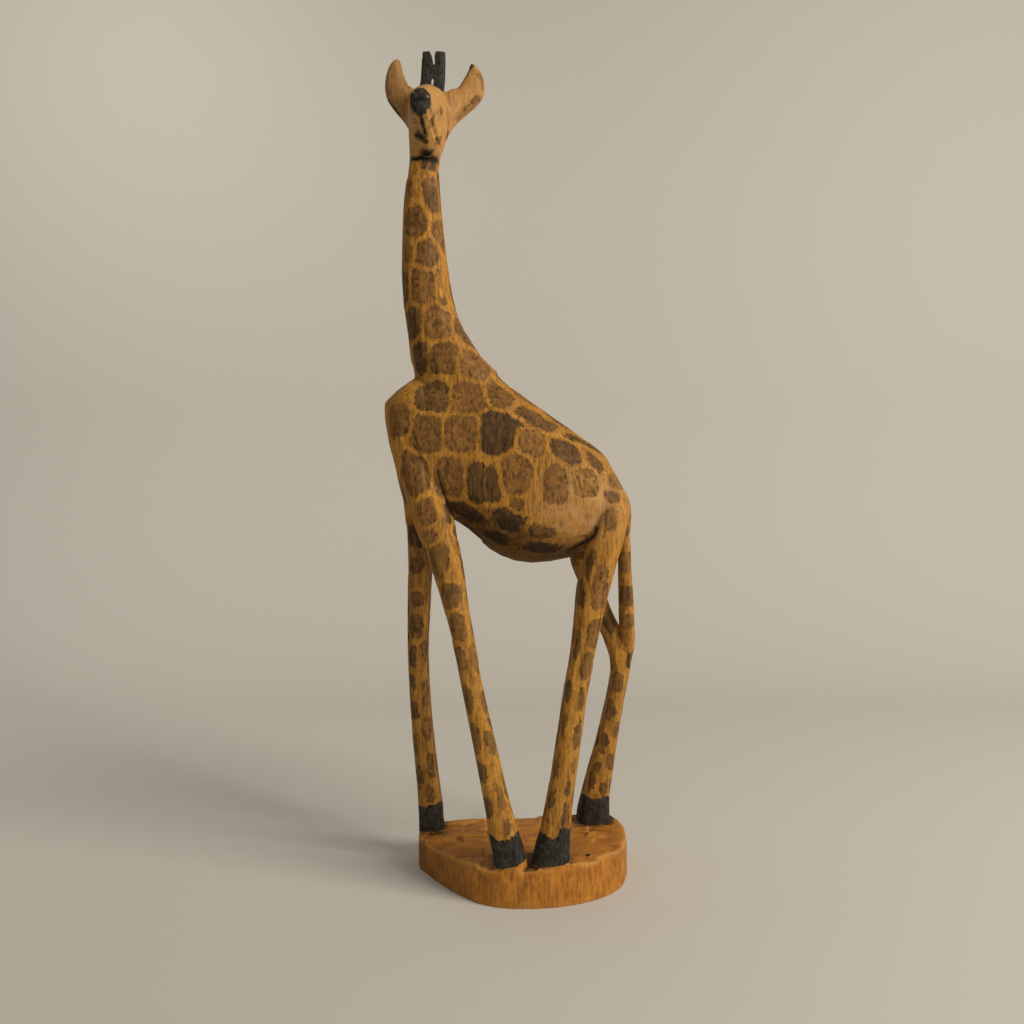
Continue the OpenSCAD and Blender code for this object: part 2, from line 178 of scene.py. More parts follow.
# the withers, where the neck runs into the back: rounds of smoothing and where they fade, mm
withers = {"rounds": 140, "height": (-12, -5), "front": (-26, -17), "rear": (-8, 4)}
cell = carving["voxel"]
hornNames = ["left_horn", "right_horn"]
skinNames = [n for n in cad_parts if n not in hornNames]
cadTrees = {}
everyPoint, everyFace, faceOwner = [], [], []
bm = bmesh.new()
for name in skinNames:
    one = bmesh.new()
    one.from_mesh(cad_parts[name].data)
    bmesh.ops.remove_doubles(one, verts=one.verts, dist=1e-6)
    cadTrees[name] = BVHTree.FromBMesh(one)
    first = len(everyPoint)
    one.verts.index_update()
    everyPoint += [v.co.copy() for v in one.verts]
    everyFace += [[first + v.index for v in f.verts] for f in one.faces]
    faceOwner += [skinNames.index(name)] * len(one.faces)
    one.free()
    bm.from_mesh(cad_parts[name].data)
bmesh.ops.remove_doubles(bm, verts=bm.verts, dist=1e-6)
rough = bpy.data.meshes.new("rough")
bm.to_mesh(rough)
bm.free()
allCad = BVHTree.FromPolygons(everyPoint, everyFace)
cadPoints = {}
for k, name in enumerate(skinNames):
    mine = [everyPoint[i] for face, kept in zip(everyFace, faceOwner) if kept == k for i in face]
    cadPoints[name] = np.array(mine) / mm


def remeshed(mesh, size):
    block = addObject("block", mesh)
    cutter = block.modifiers.new("cutter", "REMESH")
    cutter.mode = "VOXEL"
    cutter.voxel_size = size * mm
    made = bpy.data.meshes.new_from_object(block.evaluated_get(bpy.context.evaluated_depsgraph_get()))
    bpy.data.objects.remove(block)
    return made


def readMesh(mesh):
    points = np.empty(len(mesh.vertices) * 3)
    mesh.vertices.foreach_get("co", points)
    edges = np.empty(len(mesh.edges) * 2, int)
    mesh.edges.foreach_get("vertices", edges)
    return points.reshape(-1, 3) / mm, edges.reshape(-1, 2)


def spread(values, edges, amount, rounds, back=0.0):
    a, b = edges.T
    count = len(values)
    near = np.bincount(a, minlength=count) + np.bincount(b, minlength=count)
    pull = 0.55
    for turn in range(rounds):
        for factor in (pull, -back) if back else (pull,):
            columns = values.T
            total = np.stack([np.bincount(a, c[b], count) + np.bincount(b, c[a], count) for c in columns], 1)
            values = values + factor * amount * (total / near[:, None] - values)
    return values


def normalsOf(mesh, points):
    mesh.vertices.foreach_set("co", (points * mm).ravel())
    mesh.update()
    found = np.empty(len(mesh.vertices) * 3)
    mesh.vertex_normals.foreach_get("vector", found)
    return found.reshape(-1, 3)


def clouds(points, size, seed=0.0):
    return np.array([noise.noise(p) for p in (points / size + seed)])


def fade(values, low, high):
    t = np.clip((values - low) / (high - low), 0, 1)
    return t * t * (3 - 2 * t)


skin = remeshed(rough, cell)
points, edges = readMesh(skin)
everyone = np.ones((len(points), 1))
owner = np.array([faceOwner[allCad.find_nearest(p * mm)[2]] for p in points])
isNode = {n: owner == k for k, n in enumerate(skinNames)}
onBase = isNode["base"]
underside = points[:, 2] < 0.4
hold = np.where(underside, 0.0, 1.0)[:, None]
print("skin of", len(points), "points")


# seams between neighbouring pieces: the ring of corners that both have
def sharedRing(one, other):
    tree = kdtree.KDTree(len(cadPoints[one]))
    for k, p in enumerate(cadPoints[one]):
        tree.insert(p, k)
    tree.balance()
    ring = np.array([p for p in cadPoints[other] if tree.find(p)[2] < 0.01])
    middle = ring.mean(0)
    across = np.linalg.svd(ring - middle, full_matrices=False)[2][2]
    return ring, middle, across


legNames = ["front_left_leg", "front_right_leg", "hind_left_leg", "hind_right_leg"]
hoofNames = [n.replace("leg", "hoof") for n in legNames]
joined = [("neck", "torso"), ("head", "neck"), ("muzzle_tip", "head"), ("left_ear", "head")]
joined += [("right_ear", "head"), ("tail", "torso"), ("tail", "hind_right_leg")]
joined += [(leg, "torso") for leg in legNames] + [(hoof, leg) for hoof, leg in zip(hoofNames, legNames)]
joined += [("base", hoof) for hoof in hoofNames]
rings = {pair: sharedRing(*pair) for pair in joined}
print("seams found:", len(rings))

points = spread(points, edges, hold, carving["softenBase"], carving["keepVolume"])
more = carving["soften"] - carving["softenBase"]
points = spread(points, edges, hold * ~onBase[:, None], more, carving["keepVolume"])
joint = np.zeros(len(points))
for pair in joined:
    if pair[0] in hoofNames or pair[0] in ("muzzle_tip", "head", "base"):
        continue
    ring, middle, across = rings[pair]
    reach = np.linalg.norm(ring - middle, axis=1).max()
    away = np.linalg.norm(points - middle, axis=1)
    flat = abs((points - middle) @ across)
    soft = carving["blendReach"] * (2.2 if pair[0] == "neck" else 1)
    joint = np.maximum(joint, fade(-flat, -soft, -0.3 * soft) * fade(-away, -reach - soft, -reach))
points = spread(points, edges, hold * joint[:, None], carving["blend"], 0.45)
ring, middle, across = rings[("neck", "torso")]
crest = fade(-abs(points[:, 2] - middle[2]), *withers["height"])
crest = crest * fade(points[:, 0], *withers["front"]) * fade(-points[:, 0], *withers["rear"])
points = spread(points, edges, hold * crest[:, None], withers["rounds"])
normals = normalsOf(skin, points)


# a knife leaves flats: each point leans towards the flat plane of the cut it lies in
def flats(points, normals, size, depth, tilt, seed, mask):
    rng = np.random.default_rng(seed)
    scaled = points / size
    cells = np.floor(scaled + rng.random(3)).astype(int)
    seeds = np.unique(cells, axis=0, return_index=True)[1]
    seeds = seeds[mask[seeds] > 0]
    tree = kdtree.KDTree(len(seeds))
    for k, s in enumerate(seeds):
        tree.insert(scaled[s] + rng.normal(0, 0.12, 3), k)
    tree.balance()
    lean = normals[seeds] + rng.normal(0, tilt, (len(seeds), 3))
    lean /= np.linalg.norm(lean, axis=1)[:, None]
    nearest = np.array([tree.find(p)[1] for p in scaled])
    gap = ((points[seeds][nearest] - points) * lean[nearest]).sum(1)
    return points + normals * (np.clip(gap, -depth, depth) * mask)[:, None]


topOfBase = onBase & (normals[:, 2] > 0.75)
wood = (~underside).astype(float)
knife = carving["facet"], carving["facetDepth"], 0.0
chisel = carving["chisel"], carving["chiselDepth"], carving["chiselTilt"]
points = flats(points, normals, *knife, 4, wood * ~topOfBase)
points = flats(points, normals, *chisel, 9, wood * topOfBase)
points = spread(points, edges, hold, 1)

# creases, cuts and (with a negative depth) ridges on the near side:
# depth and half width in mm, how dark the painted shade in the groove is, then the x, z of the line's corners
throat = [(-48, 304.9), (-42.5, 304.0), (-38, 303.9), (-34, 306.0)]
creases = [
    (0.5, 1.0, 0.8, [(29.8, 149.5), (28.9, 147), (26.3, 144), (22.5, 141.5), (18.5, 139.8)]),   # thigh fold
    (0.25, 0.8, 0.4, [(31.6, 154.5), (30.9, 152), (29.8, 149.5)]),
    (0.35, 0.4, 1.0, [(-34.5, 173), (-33, 167), (-31.5, 162), (-28.5, 154.5)]),   # crack behind the foreleg
    (0.8, 1.0, 1.0, throat),
    (0.9, 0.8, 1.0, [(-43, 318.3), (-40.4, 318.9), (-38, 318.2)]),   # slit and nostrils in the black nose
    (0.35, 0.6, 0.0, [(-42.2, 322.3), (-41.2, 320.6)]),
    (0.35, 0.6, 0.0, [(-38.6, 322.3), (-39.4, 320.6)]),
    (-0.35, 0.8, 0.0, [(-41.6, 315.6), (-39.4, 315.6)]),   # ridges of the face
    (-0.4, 0.9, 0.0, [(-36.3, 322), (-35.8, 317), (-35.2, 313), (-34, 310)]),
    (-0.35, 0.8, 0.0, [(-37.8, 315), (-37.2, 311), (-36.3, 308.5)]),
    (0.35, 0.7, 0.0, [(-36.9, 318), (-36.3, 313), (-35.2, 309)]),
    (0.3, 0.8, 0.0, [(-43.6, 312), (-43, 308)]),
    (0.22, 0.4, 0.4, [(-21, 15.4), (-18.8, 13.0), (-17.6, 12.2), (-15.5, 10.2)]),   # split in the plinth
]


def lineGap(points, line):
    best = np.full(len(points), 99.0)
    flat = points[:, [0, 2]]
    for a, b in zip(np.array(line)[:-1], np.array(line)[1:]):
        t = np.clip(((flat - a) @ (b - a)) / ((b - a) @ (b - a)), 0, 1)
        best = np.minimum(best, np.linalg.norm(flat - a - t[:, None] * (b - a), axis=1))
    return best


normals = normalsOf(skin, points)
nearSide = fade(-normals[:, 1], 0.0, 0.35)
stainAndShade = np.zeros(len(points))
for depth, width, dark, line in creases:
    dip = np.exp(-(lineGap(points, line) / width) ** 2) * nearSide
    points = points - normals * (dip * depth)[:, None]
    # painted shade in each crease and cut
    stainAndShade = np.maximum(stainAndShade, dip * dark)
points = spread(points, edges, hold * fade(stainAndShade, 0.05, 0.4)[:, None], 3)
points[underside, 2] = np.clip(points[underside, 2], 0, None)
points[underside & (points[:, 2] < 0.25), 2] = 0.0
normals = normalsOf(skin, points)

# how hollow or how proud each spot is, for painted shade in the hollows and for wear on proud edges
calm = spread(points, edges, everyone, 30)
cavity = ((calm - points) * normals).sum(1)
print("carved")

# brown patches burnt and stained on: x, z, half width, half height (mm), lean (degrees),
# tone 0 pale to 1 black; a last "&" joins a patch to the one before
patches = {
    "torso": [
        (-36.5, 202.8, 6.6, 6.4, 0, 0.72), (-22, 202.3, 6.9, 6.6, 0, 0.45), (-9.5, 203.5, 4.4, 7.0, 34, 0.55),
        (-50, 193, 4.6, 6.4, 0, 0.55), (-39.5, 187.5, 6.2, 7.8, 0, 0.62), (-24.5, 188, 6.8, 7.3, 0, 0.45),
        (-10.5, 188, 7.2, 8.9, 0, 1.0), (-3, 192.6, 4.2, 2.3, -5, 1.0, "&"),
        (5.5, 193.5, 9.3, 3.8, -36, 0.74),
        (4, 184, 5.6, 5.4, 0, 0.34), (18, 180.5, 7.6, 4.2, -38, 0.78), (24, 185, 9.5, 2.0, -33, 0.78),
        (30.5, 175, 5.6, 3.1, -52, 0.68), (-43.5, 171.5, 5.2, 9.0, 14, 0.62), (-30, 170, 5.6, 7.6, 0, 0.48),
        (-19, 168, 3.3, 8.6, 0, 0.84), (-12, 167.5, 3.3, 7.6, 0, 0.8, "&"),
        (-15, 162.5, 5.0, 2.6, 0, 0.8, "&"),
        (-3, 172, 6.0, 7.7, 0, 0.4), (13, 167, 5.2, 7.2, 0, 0.38), (25, 168.5, 5.2, 6.0, 0, 0.22),
        (-2, 158.5, 2.3, 2.8, 0, 0.5), (36.5, 162.5, 2.9, 3.0, 0, 0.62), (35.5, 153, 2.3, 4.6, 0, 0.45),
        (-21.5, 155.5, 9.2, 3.7, -30, 1.0), (-6.5, 153, 7.8, 4.2, -22, 0.9), (7, 148, 5.6, 3.0, -10, 0.62),
        (-9, 145, 7.4, 3.0, -32, 0.9), (6, 141.5, 8.0, 2.6, -5, 0.85), (36, 169.5, 2.2, 4.6, 25, 0.5),
        (-39, 157, 3.6, 5.4, 0, 0.5),
    ],
    "neck": [
        (-42.5, 220, 2.7, 6.6, 0, 0.96), (-31.8, 219.4, 6.2, 6.2, 0, 0.58), (-20, 217, 6.2, 5.4, -38, 0.42),
        (-24, 230, 2.0, 7.2, 36, 0.66), (-46, 234, 3.0, 6.4, 0, 0.86), (-34.6, 234.3, 5.2, 6.8, 0, 0.5),
        (-41, 250, 5.2, 6.7, 0, 0.56), (-49.2, 249, 1.6, 6.6, 0, 0.72), (-31, 255, 1.3, 4.6, 0, 0.55),
        (-39, 263, 4.8, 6.2, 0, 0.62), (-48, 264.5, 2.1, 4.6, 0, 0.42), (-34.4, 272, 2.0, 6.2, 8, 0.4),
        (-44.5, 277, 4.4, 6.8, 0, 0.6), (-37.8, 288.5, 3.1, 7.4, 0, 0.78), (-47.4, 290, 1.4, 5.0, 0, 0.34),
        (-32.5, 242.5, 1.6, 2.6, 0, 0.6), (-38.6, 301.4, 2.5, 2.4, 0, 0.92),
    ],
    "front_left_leg": [
        (-37, 146, 2.6, 3.2, 10, 0.4), (-33.8, 137, 4.2, 6.6, 0, 0.5), (-29, 122.5, 4.5, 5.2, 0, 0.52),
        (-26, 110.5, 3.2, 5.6, 10, 0.46), (-26.3, 97, 2.0, 5.2, 10, 0.46), (-18.9, 97, 1.1, 5.0, 10, 0.5),
        (-22.6, 81.5, 2.1, 5.6, 10, 0.52), (-15.4, 80, 1.0, 4.6, 10, 0.62), (-19.4, 66, 2.1, 5.6, 10, 0.56),
        (-12.2, 64.5, 1.5, 4.6, 10, 0.66), (-17, 52.5, 1.5, 4.0, 10, 0.66), (-8.8, 44, 1.5, 5.0, 10, 0.5),
        (-14.4, 38.5, 1.5, 4.4, 10, 0.6), (-5.8, 31.5, 1.5, 3.2, 10, 0.55),
    ],
    "front_right_leg": [
        (-46.5, 145, 3.4, 5.2, 0, 0.85), (-45.8, 132, 3.6, 3.6, 0, 0.55), (-45.8, 117, 2.5, 3.4, 0, 0.82),
        (-46.5, 105, 3.2, 5.0, 0, 0.6), (-47.8, 91.6, 1.9, 4.6, 0, 0.92), (-42.5, 93.3, 1.2, 4.5, 0, 0.62),
        (-48.5, 80.6, 1.3, 3.8, 0, 0.8), (-42.5, 75.7, 1.3, 5.4, 0, 0.5), (-47.6, 67, 1.8, 4.4, 0, 0.72),
        (-41.7, 59, 1.6, 5.0, 0, 0.5), (-47.4, 52.5, 1.1, 4.6, 0, 0.5), (-40, 42.7, 1.8, 4.8, 0, 0.62),
        (-45.8, 38.3, 1.8, 4.2, 0, 0.72), (-40.3, 30.5, 1.6, 3.6, 0, 0.55),
    ],
    "hind_left_leg": [
        (27, 134, 1.7, 7.5, 0, 0.85), (23.6, 124, 1.6, 6.0, 0, 0.78), (31, 126, 3.8, 9.0, 0, 0.36),
        (30, 107, 2.6, 6.0, -8, 0.55), (25.5, 94.5, 2.5, 5.6, -8, 0.58), (23.6, 81.5, 1.7, 4.4, -8, 0.56),
        (22, 67, 1.3, 5.0, -8, 0.55), (22, 104, 1.2, 5.4, -8, 0.62), (18.3, 84, 1.2, 5.4, -8, 0.82),
        (15.8, 70, 1.1, 4.8, -8, 0.72), (13.3, 54, 1.0, 5.0, -8, 0.72), (11.3, 41, 1.1, 5.2, -8, 0.82),
        (18.2, 47, 1.3, 3.4, -8, 0.55), (20.4, 54, 0.8, 3.2, -8, 0.4), (17, 35.5, 1.5, 4.4, -8, 0.62),
    ],
    "hind_right_leg": [
        (38.4, 107.6, 2.6, 5.6, 0, 0.97), (42.2, 80.1, 2.5, 4.0, 0, 0.55), (48.6, 89.5, 1.5, 5.0, 0, 1.0),
        (39.5, 68.5, 1.8, 3.2, 0, 0.7), (38.4, 64.2, 1.5, 2.4, 0, 0.8, "&"), (42.2, 58.7, 1.3, 3.2, 0, 0.6),
        (36.3, 53.7, 2.0, 2.8, 0, 0.7), (35.1, 49.3, 1.3, 2.2, 0, 0.8, "&"), (39.8, 43.8, 1.6, 4.3, 0, 0.66),
        (33.4, 41.6, 1.6, 2.5, 0, 0.72), (31.2, 36.1, 1.6, 3.8, 0, 0.9, "&"), (36.7, 31.4, 2.0, 2.8, 0, 0.66),
    ],
    "head": [
        (-36.4, 313.6, 0.9, 3.4, 14, 0.62), (-35, 309.8, 1.3, 1.6, 20, 0.6),
        (-38.6, 313.4, 0.9, 2.2, -12, 0.55),
        (-31.8, 315.4, 0.8, 2.4, 0, 0.55), (-30, 316.2, 0.7, 1.5, 8, 0.5), (-42.3, 309.4, 1.9, 1.1, -18, 0.9),
        (-39.9, 308.0, 1.7, 1.0, -25, 0.86, "&"), (-44.7, 316.4, 0.8, 2.8, -6, 0.7),
        (-43.2, 313.2, 0.9, 1.4, 0, 0.45),
        (-33.6, 320.5, 0.8, 1.6, 0, 0.3), (-28.6, 313.6, 0.7, 1.6, -40, 0.35),
    ],
    "left_ear": [
        (-20.2, 331, 3.4, 1.5, 42, 0.5), (-17.4, 340, 1.0, 4.6, 8, 0.42), (-23.5, 343.4, 4.4, 0.9, 50, 0.7),
    ],
    "tail": [
        (45, 134, 4.0, 4.4, 0, 0.62), (46, 119, 4.2, 4.9, 0, 0.95), (45.5, 107.6, 4.0, 3.4, 0, 0.5),
    ],
}
staining = {
    "squareness": 2.7,    # 2 is an oval, more is boxier
    "paleLine": 1.5,      # mm left between neighbours
    "wobble": 0.75,       # mm
    "grow": 1.12,         # patches on torso and neck are drawn this much larger
    "hiddenBody": (5.2, 7.4),
    "hiddenLeg": (2.2, 3.1),
    "tries": 9000,        # spots tried for a hidden patch
}
best = np.full(len(points), -30.0)
second = np.full(len(points), -30.0)
tone = np.full(len(points), 0.5)
wobble = clouds(points, 5.0, 3.1) * 1.3 + clouds(points, 2.2, 8.4) * 0.8 + clouds(points, 1.1, 5.2) * 0.5


def lobe(points, centre, facing, width, height, lean):
    facing = Vector(facing).normalized()
    right = Vector((0, 0, 1)).cross(facing)
    right = right.normalized() if right.length > 0.2 else Vector((1, 0, 0))
    turn = Matrix.Rotation(math.radians(lean), 3, facing)
    up = np.array(turn @ facing.cross(right))
    right = np.array(turn @ right)
    away = points - np.array(centre)
    side = np.hypot(away @ right, away @ np.array(facing)) / width
    rise = abs(away @ up) / height
    power = staining["squareness"]
    return (1 - (side ** power + rise ** power) ** (1 / power)) * min(width, height)


def stainPatch(lobes, shade):
    global best, second, tone
    reach = max(max(l[2], l[3]) for l in lobes) * 2.2 + 6
    close = np.zeros(len(points), bool)
    for l in lobes:
        close |= (abs(points - l[0]) < reach).all(1)
    close = np.flatnonzero(close)
    field = np.max([lobe(points[close], *l) for l in lobes], 0) + wobble[close] * staining["wobble"]
    first = field > best[close]
    second[close] = np.where(first, best[close], np.maximum(second[close], field))
    tone[close] = np.where(first, shade, tone[close])
    best[close] = np.maximum(best[close], field)


for name, rows in patches.items():
    groups = []
    grow = staining["grow"] if name in ("torso", "neck") else 1.0
    for row in rows:
        x, z, width, height, lean, shade = row[:6]
        hit = cadTrees[name].ray_cast(Vector((x, -100, z)) * mm, Vector((0, 1, 0)))
        if hit[0] is None:
            hit = cadTrees[name].find_nearest(Vector((x, -20 if name != "tail" else 0, z)) * mm)
        centre, facing = hit[0] / mm, hit[1]
        width = min(width / max(0.42, math.hypot(facing.y, facing.z * 0.7)), 9.5)
        entry = (np.array(centre), facing, width * grow, height * grow, lean)
        if len(row) > 6:
            groups[-1][0].append(entry)
        else:
            groups.append(([entry], shade))
    for lobes, shade in groups:
        stainPatch(lobes, shade)

# the sides turned away get patches of the same kind, wherever there is room
rng = np.random.default_rng(21)
body = isNode["torso"] | isNode["neck"]
legs = np.any([isNode[n] for n in legNames], 0)
spare = np.flatnonzero((body | legs) & (normals[:, 1] > -0.1) & (points[:, 2] > 32) & (points[:, 2] < 299))
for k in rng.permutation(spare)[: staining["tries"]]:
    low, high = staining["hiddenLeg"] if legs[k] else staining["hiddenBody"]
    if isNode["neck"][k]:
        low, high = low * 0.7, high * 0.8
    width = rng.uniform(low, high)
    if best[k] < -0.8 * width:
        height = width * (rng.uniform(1.3, 1.9) if legs[k] else rng.uniform(0.85, 1.35))
        stainPatch([(points[k], normals[k], width, height, rng.uniform(-12, 12))], rng.uniform(0.35, 0.92))
patch = np.minimum(best, (best - second) / 2 - staining["paleLine"] / 2)
# the small leg marks have firmer edges
patch = np.where(legs, patch * 1.7 + 0.35, patch)
tone = np.where(legs, tone + 0.1, tone)
print("patches stained")

# black paint: height of its edge above the hoof joint, by x, brushed on in short strokes
hoofPaint = {
    "front_left_hoof": [(-14, 0.8), (-11.5, 0.5), (-10.5, -0.5), (-7, -0.7), (-4, 0.6), (-2.5, 1.3), (1, 1.5)],
    "front_right_hoof": [(-46, -0.6), (-43, -0.2), (-40, 0.2), (-36, 1.2)],
    "hind_left_hoof": [(4, 0.3), (9, 0.2), (10, -0.8), (13, -1.0), (14, 0.8), (15, 2.7), (19, 3.2)],
    "hind_right_hoof": [(25, 0.8), (29, 0.4), (33, -0.4), (39, 0.2)],
}
padPaint = {
    "front_left_hoof": [(-13, 0.5), (-8, 0.5), (-5, 1.2), (0, 2.6)],
    "hind_left_hoof": [(4, 0.4), (12, 0.4), (18, 0.8)],
}
brush = {"strokeWidth": 1.0, "ragged": 0.35}   # mm
paint = np.full(len(points), -9.0)
for leg, hoof in zip(legNames, hoofNames):
    mine = np.flatnonzero(isNode[leg] | isNode[hoof])
    top = rings[(hoof, leg)][1][2]
    xs, lifts = zip(*hoofPaint[hoof])
    stroke = np.floor((points[mine, 0] + 0.6 * points[mine, 1]) / brush["strokeWidth"]).astype(int)
    step = np.random.default_rng(len(hoof)).normal(0, brush["ragged"], 400)[stroke % 400]
    paint[mine] = top + np.interp(points[mine, 0], xs, lifts) + step - points[mine, 2]
    # the black runs on down the pad to just above the plinth
    ring = rings[("base", hoof)][0]
    low, high = ring.min(0) - 2.0, ring.max(0) + 2.0
    inside = ((points[:, :2] > low[:2]) & (points[:, :2] < high[:2])).all(1)
    pad = np.flatnonzero(onBase & inside)
    plinthTop = 14.8 + 0.04 * points[pad, 0] - 0.012 * points[pad, 1]
    xs, lifts = zip(*padPaint.get(hoof, [(-60, 0.5), (60, 0.5)]))
    paint[pad] = points[pad, 2] - plinthTop - np.interp(points[pad, 0], xs, lifts) - 0.35 * wobble[pad]

x, y, z = points.T
front = isNode["head"] | isNode["muzzle_tip"]
snout = front & (y < -20)
noseCap = {"middle": (-40.5, 318.9), "half": (4.2, 5.7), "chin": 312.2, "from": -23.2}   # mm
off = (points[:, [0, 2]] - noseCap["middle"]) / noseCap["half"]
nose = 4.1 * (1 - np.linalg.norm(off, axis=1))
chin = 1.1 + (z - noseCap["chin"]) * 0.8 - abs(x + 40.6)
nose = np.minimum(np.minimum(nose, chin), noseCap["from"] - y) + 0.25 * wobble
paint = np.where(snout, nose, paint)
scrapes = [
    (0.36, [(-40.4, 323.2), (-39.2, 321.8), (-37.4, 319.9)]),
    (0.3, [(-43.4, 322.0), (-42.6, 320.6)]),
]
for width, line in scrapes:
    paint -= snout * 1.4 * np.exp(-((lineGap(points, line) + 0.2 * wobble) / width) ** 2)

# painted shade in hollows, underneath and on parts turned from the light; proud edges are rubbed pale; how
# dark or pale, 0 to 1
shadeAndSoiling = {
    "hollows": 0.75,
    "palerHead": 0.62,
    "flank": (22, 158),   # x, z of the middle of the pale flank
    "flankFade": (-22, -6),
    "belly": 0.56,
    "bellyTop": [(-30, 160), (-5, 157), (8, 147), (30, 145)],   # x, z of its upper edge
    "right_ear": 0.36,
    "front_right_leg": 0.27,
    "plinthWall": 0.38,
    "roundFeet": 0.5,
    "knot": (26.6, -17.8),
}
# painted shade in the hollows
stainAndShade = np.maximum(stainAndShade, np.clip(cavity * 1.6, 0, 1) * shadeAndSoiling["hollows"])
worn = np.clip(-cavity * 1.5 - 0.12, 0, 1)
flankX, flankZ = shadeAndSoiling["flank"]
flank = fade(-np.hypot((x - flankX) / 1.1, z - flankZ), *shadeAndSoiling["flankFade"]) * body
pale = flank * fade(-normals[:, 1], -0.2, 0.3) * np.clip(0.62 + 0.35 * wobble, 0.15, 0.9)
ears = isNode["left_ear"] | isNode["right_ear"]
pale = np.maximum(pale, shadeAndSoiling["palerHead"] * (front | ears))
# painted shade underneath, on the belly
bellyTop = np.interp(x, *zip(*shadeAndSoiling["bellyTop"])) + 1.5 * wobble
bellyShade = fade(bellyTop - z, -3, 7) * fade(-normals[:, 2], -0.35, 0.35)
bellyShade = bellyShade * fade(x, -31, -25) * fade(-x, -30, -21) * fade(z, 128, 133)
stainAndShade = np.maximum(stainAndShade, bellyShade * shadeAndSoiling["belly"])
# painted shade: the far ear and the far foreleg darkened all over
for name in ("right_ear", "front_right_leg"):
    stainAndShade = np.maximum(stainAndShade, shadeAndSoiling[name] * isNode[name])
# painted shade on the plinth's wall, darker towards the left
stainAndShade = np.maximum(stainAndShade, shadeAndSoiling["plinthWall"] * onBase * (normals[:, 2] < 0.6) * fade(-x, 0, 40))
# painted shade in the corners round the feet
upward = fade(normals[:, 2], 0.5, 0.9)
for hoof in hoofNames:
    ring, middle, across = rings[("base", hoof)]
    reach = (ring.max(0) - ring.min(0))[:2] / 2
    off = np.linalg.norm(np.maximum(abs(points[:, :2] - middle[:2]) - reach, 0), axis=1)
    feetShade = onBase * fade(-off - 1.2 * wobble, -4.5, -0.6) * upward
    stainAndShade = np.maximum(stainAndShade, feetShade * shadeAndSoiling["roundFeet"])

# dark smears on face and ears, and painted shade along and under the throat: half width, strength, corners
smears = [
    (0.9, 0.85, [(-40.5, 313.3), (-40.1, 311.5), (-39.6, 310)]),
    (0.6, 0.55, [(-39.6, 310.5), (-38.9, 308.5), (-39.6, 306)]),
    # these two: painted shade in the throat notch and under the jaw
    (1.0, 1.0, throat),
    (1.8, 1.0, [(-41.5, 304.2), (-36.8, 304.4)]),
    (1.0, 0.85, [(-43, 310.2), (-41.3, 308.8), (-39.5, 307.7)]),
    (1.3, 0.85, [(-57.4, 331), (-53, 325), (-49.2, 319)]),
    (1.3, 0.55, [(-21.2, 347), (-24, 343), (-28.2, 338.4), (-32.5, 335.8)]),
    (1.5, 0.42, [(-16.4, 333), (-23.4, 327.4), (-27.4, 323.4)]),
    (0.9, 0.36, [(-18.4, 345.2), (-17, 340), (-16.6, 335.6)]),
    (0.35, 0.9, [(22.6, 75.4), (22.9, 73.8), (23.2, 72)]),
]
headFrom = 295   # mm
for width, strength, line in smears:
    where = z > headFrom if line[0][1] > headFrom else isNode["hind_left_leg"]
    gap = lineGap(points, line) + 0.35 * wobble
    smear = np.exp(-(gap / width) ** 2) * np.maximum(nearSide, 0.8 * ears) * strength
    stainAndShade = np.maximum(stainAndShade, smear * where)

# lines rubbed pale on flank and face
rubs = [
    (0.6, 0.7, [(7.6, 173), (7.9, 163)]),
    (0.7, 0.5, [(20, 171), (20.5, 160)]),
    (0.6, 0.8, [(-36.4, 321.5), (-35.7, 316.5), (-35, 312.5), (-34, 310)]),
    (0.5, 0.7, [(-37.8, 315), (-37, 311), (-36, 308.6)]),
]
for width, strength, line in rubs:
    gap = lineGap(points, line) + 0.2 * wobble
    worn = np.maximum(worn, np.exp(-(gap / width) ** 2) * nearSide * strength)
# one pin knot on the plinth
knot = np.linalg.norm(points[:, :2] - shadeAndSoiling["knot"], axis=1)
stainAndShade = np.maximum(stainAndShade, fade(-knot, -1.4, -0.8) * onBase * (normals[:, 2] > 0.5))

marks = np.stack([patch, tone, paint], 1)
tint = np.stack([stainAndShade, worn, pale], 1)
for name, values in (("marks", marks), ("tint", tint), ("skinNormal", normals)):
    layer = skin.attributes.new(name, "FLOAT_VECTOR", "POINT")
    layer.data.foreach_set("vector", values.astype(np.float32).ravel())
print("paint and wear set")


# light tropical hardwood, knife carved, scorched and stained in patches, then waxed:
# honey ground with upright fibres, grainy brown patches, soft low shine, painted shade dark in hollows and
# creases
waxedWood = {
    "ground": ("#7D5119", "#BE8732"),
    "rubbed": "#C2924E",
    "paleFlank": "#BC8F5A",
    "patch": ("#8A6129", "#704B22", "#4F3719", "#2A1D10"),
    # darkest colour: real dark stain, and painted shade in hollows, creases, underneath and on the far parts
    "darkStainAndShade": "#150D07",
    "paint": ("#191712", "#3B372D"),
    "fibre": 0.55,         # mm across
    "fibreLength": 7.0,    # mm along
    "grainShare": 0.42,    # of cloud against fibre
    "speckDepth": 0.72,    # how dark the pores look, 1 is not at all
    "stipple": 0.8,        # mm, drawn a little coarser than the pores are
    "cloud": 7.0,          # mm
    "raggedEdge": 0.9,     # mm
    "shine": (0.6, 0.78),
    "relief": 0.16,        # mm
}


